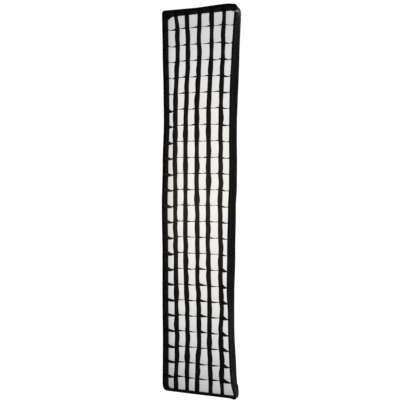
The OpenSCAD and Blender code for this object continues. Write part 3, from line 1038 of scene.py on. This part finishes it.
def shell_side(name, sx):
    """A long panel, from the lip's back edge to the two seams and the throat."""
    lean = Vector((76 * sx, 98, 0)).normalized()
    z_end = SEAM_END.z

    def point(up, t):
        t = t if sx > 0 else 1 - t
        z = mix(-z_end, z_end, up)
        outer = face_point(sx * (HALF_W - 0.5 * MM), z, LIP_DEPTH + 0.2 * MM)
        if abs(z) <= SEAM_XY:
            inner = Vector((sx * math.sqrt(THROAT_R ** 2 - z * z), THROAT_Y, z))
        else:
            inner = seam_at(z, sx)
        p = outer.lerp(inner, t)
        hollow = math.sin(math.pi * t) * (inner - outer).length
        crease = ripple(p.x * 9, p.z * 5, 2.0) * 0.012 + ripple(p.x * 25, p.z * 18, 5.0) * 0.005
        p -= lean * hollow * (SHELL_HOLLOW + crease)
        return p + lean * gathers(p) * min(1.0, 3 * t)

    panel(name, sheet_rows(160, 24, point))


def shell_end(name, sz):
    """A short panel, from the lip's top or bottom edge down to the throat."""

    def point(t, across):
        right = seam(t, 1, sz)
        u = mix(-1, 1, across)
        p = seam(t, -1, sz).lerp(right, across)
        p.z += sz * (math.sqrt(THROAT_R ** 2 - (SEAM_XY * u) ** 2) - SEAM_XY) * (1 - t) ** 4
        hollow = (1 - u * u) * right.x
        crease = ripple(p.x * 8, p.z * 5, 9.0) * 0.012 + ripple(p.x * 22, p.z * 14, 4.0) * 0.004
        p.y -= hollow * (SHELL_HOLLOW * ramp(t * 4) * ramp((1 - t) * 6) + crease * ramp(t * 6))
        p.y += gathers(p) * min(1.0, 6 * (1 - abs(u)))
        return p

    rows = sheet_rows(110, 32, point)
    last = rows[-1]
    edge = [face_point(mix(-SEAM_END.x, SEAM_END.x, j / 32), sz * (HALF_H - 0.5 * MM),
                       LIP_DEPTH + 0.2 * MM) for j in range(33)]
    for t in (0.35, 0.7, 1.0):
        rows.append([a.lerp(b, t) + Vector((0, 0, sz * 0.6 * MM * math.sin(math.pi * t)))
                     for a, b in zip(last, edge)])
    panel(name, rows[::-1] if sz > 0 else rows)


def panel(name, rows):
    """Shell cloth that is black outside and silver inside."""
    obj = cloth_piece(name + "_cloth", rows, SHELL_T, "shell_cloth", [name], offset=-1.0)
    obj.data.materials.append(MATERIALS["silver_lining"])
    obj.modifiers["thickness"].material_offset = 1


shell_side("shell_right", 1)
shell_side("shell_left", -1)
shell_end("shell_top", 1)
shell_end("shell_bottom", -1)


def seam_piping():
    """Corded piping sewn into the four shell seams."""
    for corner, sx, sz in CORNERS:
        path = [seam(mix(0.02, 0.97, i / 60), sx, sz) + Vector((sx * 0.3 * MM, 1.5 * MM, 0))
                for i in range(61)]
        cord = tube(f"seam_piping_{corner}", path, 1.5 * MM, 14)
        finish_piece(cord, "webbing", ["seam_piping"])


def rods():
    for corner, sx, sz in CORNERS:
        node = f"rod_{corner}"
        co = np.abs(cad_points(node))
        r = 2.5 * MM
        near = co[co[:, 2] < co[:, 2].min() + 2 * r]
        far = co[co[:, 2] > co[:, 2].max() - 2 * r]
        start = Vector((near[:, 0].mean(), -near[:, 1].mean(), co[:, 2].min() + 0.5 * MM))
        end = Vector((far[:, 0].mean(), -far[:, 1].mean(), co[:, 2].max() - 0.5 * MM))
        path = [corner_path(start, end, i / 60, sx, sz, 1.0) for i in range(61)]
        rod = tube(f"spring_rod_{corner}", path, r, 16)
        finish_piece(rod, "rod_steel", [node])


def corner_pockets():
    """A webbing sleeve over each rod's end inside, and the patch it is sewn to outside."""
    for corner, sx, sz in CORNERS:
        co = np.abs(cad_points(f"rod_{corner}"))
        far = co[co[:, 2] > co[:, 2].max() - 5 * MM]
        tip = Vector((sx * far[:, 0].mean(), -far[:, 1].mean(), sz * far[:, 2].mean()))
        root = Vector((sx * SEAM_START.x, SEAM_START.y, sz * SEAM_START.z))
        ahead = (tip - root).normalized()
        path = [tip + ahead * mix(-22 * MM, 7 * MM, i / 16) for i in range(17)]
        rows = []
        for i, (p, side, top) in enumerate(frames_along(path)):
            t = i / 16
            wide, high = mix(4.4, 6.2, ramp(t * 1.3)) * MM, mix(4.4, 3.4, ramp(t * 1.3)) * MM
            pucker = 0.25 * MM * ripple(p.x * 90, p.z * 90)
            rows.append([p + side * (wide + pucker) * math.cos(a)
                         + top * (high + pucker) * math.sin(a) for a in round_about(24)])
        cloth_piece(f"corner_pocket_sleeve_{corner}", rows, STRIP_T, "webbing",
                    ["corner_pockets"], closed=True)
        corner_patch(corner, sx, sz)


def corner_patch(corner, sx, sz):
    """Webbing sewn over the corner where the lip and two shell panels meet."""
    reach = 26 * MM
    inner = seam(0.945, sx, sz)
    along = (seam(0.97, sx, sz) - seam(0.92, sx, sz)).normalized()

    def edge(u):
        return face_point(sx * (HALF_W - reach * max(0.0, u)), sz * (HALF_H - reach * max(0.0, -u)),
                          LIP_DEPTH + 0.1 * MM, -0.4 * MM)

    span = edge(1) - edge(-1)
    across = (span - along * span.dot(along)).normalized()

    def point(side, t):
        u = mix(-1, 1, side)
        p = edge(u).lerp(inner + across * (6 * MM * u), t)
        p.y += (2.0 + 2.4 * math.sin(math.pi * min(1.0, t * 1.1)) * (1 - u * u)) * ramp(t * 5) * MM
        return p

    rows = [row if sx * sz > 0 else row[::-1] for row in sheet_rows(24, 12, point)]
    patch = cloth_piece(f"corner_pocket_patch_{corner}", rows, WEBBING_T, "webbing",
                        ["corner_pockets"])
    patch.modifiers["thickness"].use_even_offset = False


def throat_elastic():
    """The gathered sleeve that grips the speedring; its hem lies on the shell."""
    low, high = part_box("throat_elastic")

    def ring(y, radius):
        return [Vector((radius(a) * math.cos(a), y, radius(a) * math.sin(a)))
                for a in round_about(264)]

    rows = [ring(THROAT_Y + up * MM, lambda a: THROAT_R + out * MM)
            for out, up in ((2.6, 0.4), (1.6, 1.5), (0.3, 1.9))]
    for i in range(7):
        t = i / 6

        def radius(a):
            swell = math.sin(math.pi * t) * 0.5 * MM + 0.55 * MM * pleats(a) * math.sin(math.pi * t)
            return THROAT_R - 1.0 * MM + swell - 0.9 * MM * t

        rows.append(ring(mix(low.y - 1.2 * MM, high.y, t), radius))
    cloth_piece("throat_elastic_sleeve", rows[::-1], ELASTIC_T, "elastic", ["throat_elastic"],
                offset=-1.0, closed=True)


seam_piping()
rods()
corner_pockets()
throat_elastic()


# ---- hardware

for node, obj in nodes.items():
    slot = next(s["material_slot"] for s in frame["record"]["subparts"] if s["node"] == node)
    obj.data.materials.clear()
    obj.data.materials.append(MATERIALS[slot])
for node in ("lamp_collar", "speedring", "rod_carrier", "lock_knob_top", "lock_knob_bottom"):
    mod = nodes[node].modifiers.new("edge", "BEVEL")
    mod.width = 0.35 * MM
    mod.segments = 2
    mod.limit_method = "ANGLE"
    mod.angle_limit = math.radians(40)


# ---- stage, light, camera


# How much of the floor's own glow falls on the softbox, and the distances from the middle
# between which that glow grows from its near level to plain white
FLOOR_BOUNCE = 0.2
FLOOR_NEAR_FAR = (1.2, 5.0)
FLOOR_NEAR_GLOW = 0.62
FLOOR_DROP = 0.65
# The strength at which a surface shows as plain white, and the surround's own light
WHITE = 1.05
FILL_STRENGTH = 0.05


def stage_floor():
    """A pale floor under the softbox that brightens to plain white far away."""
    half = 60.0
    z = -HALF_H - FLOOR_DROP
    floor = make_object("stage_floor", [(-half, -half, z), (half, -half, z), (half, half, z),
                                        (-half, half, z)], [(0, 1, 2, 3)])
    s = Shader("stage_floor", (0.86, 0.86, 0.87), 0.9, Specular_IOR_Level=0.1)
    away = s.distance(s.node("TexCoord").outputs["Object"])
    seen = s.node("LightPath").outputs["Is Camera Ray"]
    share = s.math("ADD", s.times(seen, 1 - FLOOR_BOUNCE), FLOOR_BOUNCE)
    bright = s.map_range(away, *FLOOR_NEAR_FAR, FLOOR_NEAR_GLOW, WHITE)
    s.link(s.times(bright, share), s.bsdf.inputs["Emission Strength"])
    s.bsdf.inputs["Emission Color"].default_value = (1, 1, 1, 1)
    floor.data.materials.append(s.material)


def backdrop():
    """A white surround. Lamps do the lighting, so it shows brighter than it lights."""
    world = bpy.data.worlds.new("studio")
    world.use_nodes = True
    tree = world.node_tree
    tree.nodes.clear()
    both = tree.nodes.new("ShaderNodeMixShader")
    for socket, color, strength in ((1, (0.95, 0.97, 1.0, 1), FILL_STRENGTH),
                                    (2, (1, 1, 1, 1), WHITE)):
        glow = tree.nodes.new("ShaderNodeBackground")
        glow.inputs["Color"].default_value = color
        glow.inputs["Strength"].default_value = strength
        tree.links.new(glow.outputs[0], both.inputs[socket])
    ray = tree.nodes.new("ShaderNodeLightPath")
    out = tree.nodes.new("ShaderNodeOutputWorld")
    tree.links.new(ray.outputs["Is Camera Ray"], both.inputs["Fac"])
    tree.links.new(both.outputs[0], out.inputs["Surface"])
    bpy.context.scene.world = world


# Name, place, size in metres, watts and colour of each area lamp
LAMPS = [("key", (3.6, -1.2, 1.6), 2.4, 7, (1.0, 0.99, 0.97)),
         ("fill", (-3.0, -2.0, 1.0), 2.4, 2, (0.95, 0.97, 1.0)),
         ("back", (0.2, 3.8, 2.4), 2.6, 90, (0.97, 0.98, 1.0)),
         ("back_left", (-2.6, 2.8, 1.2), 2.2, 50, (1.0, 0.99, 0.98))]


def soft_light(name, place, size, power, color):
    data = bpy.data.lights.new(name, "AREA")
    data.energy = power
    data.size = size
    data.color = color
    light = add_object(name, data)
    light.location = place
    light.rotation_euler = (-Vector(place)).to_track_quat("-Z", "Y").to_euler()


# The camera stands to the right of the face, level with its middle
CAMERA_AZIMUTH = math.radians(45.0)
CAMERA_ELEVATION = math.radians(0.86)
CAMERA_DISTANCE = 5.717
CAMERA_LENS = 165.0
CAMERA_SIDE = 0.008
CAMERA_UP = 0.015


def camera():
    data = bpy.data.cameras.new("camera")
    data.lens = CAMERA_LENS
    data.sensor_width = 36.0
    data.clip_end = 200.0
    away = Vector((math.sin(CAMERA_AZIMUTH) * math.cos(CAMERA_ELEVATION),
                   -math.cos(CAMERA_AZIMUTH) * math.cos(CAMERA_ELEVATION),
                   math.sin(CAMERA_ELEVATION)))
    right = Vector((math.cos(CAMERA_AZIMUTH), math.sin(CAMERA_AZIMUTH), 0))
    up = right.cross(-away).normalized()
    target = Vector((0, FRONT + 6.7 * MM, ROW_Z - 11 * CELL))
    target += right * CAMERA_SIDE + up * CAMERA_UP
    eye = add_object("camera", data)
    eye.location = target + away * CAMERA_DISTANCE
    eye.rotation_euler = (-away).to_track_quat("-Z", "Y").to_euler()
    bpy.context.scene.camera = eye


stage_floor()
backdrop()
for lamp in LAMPS:
    soft_light(*lamp)
camera()
bpy.context.scene.view_settings.view_transform = "Standard"
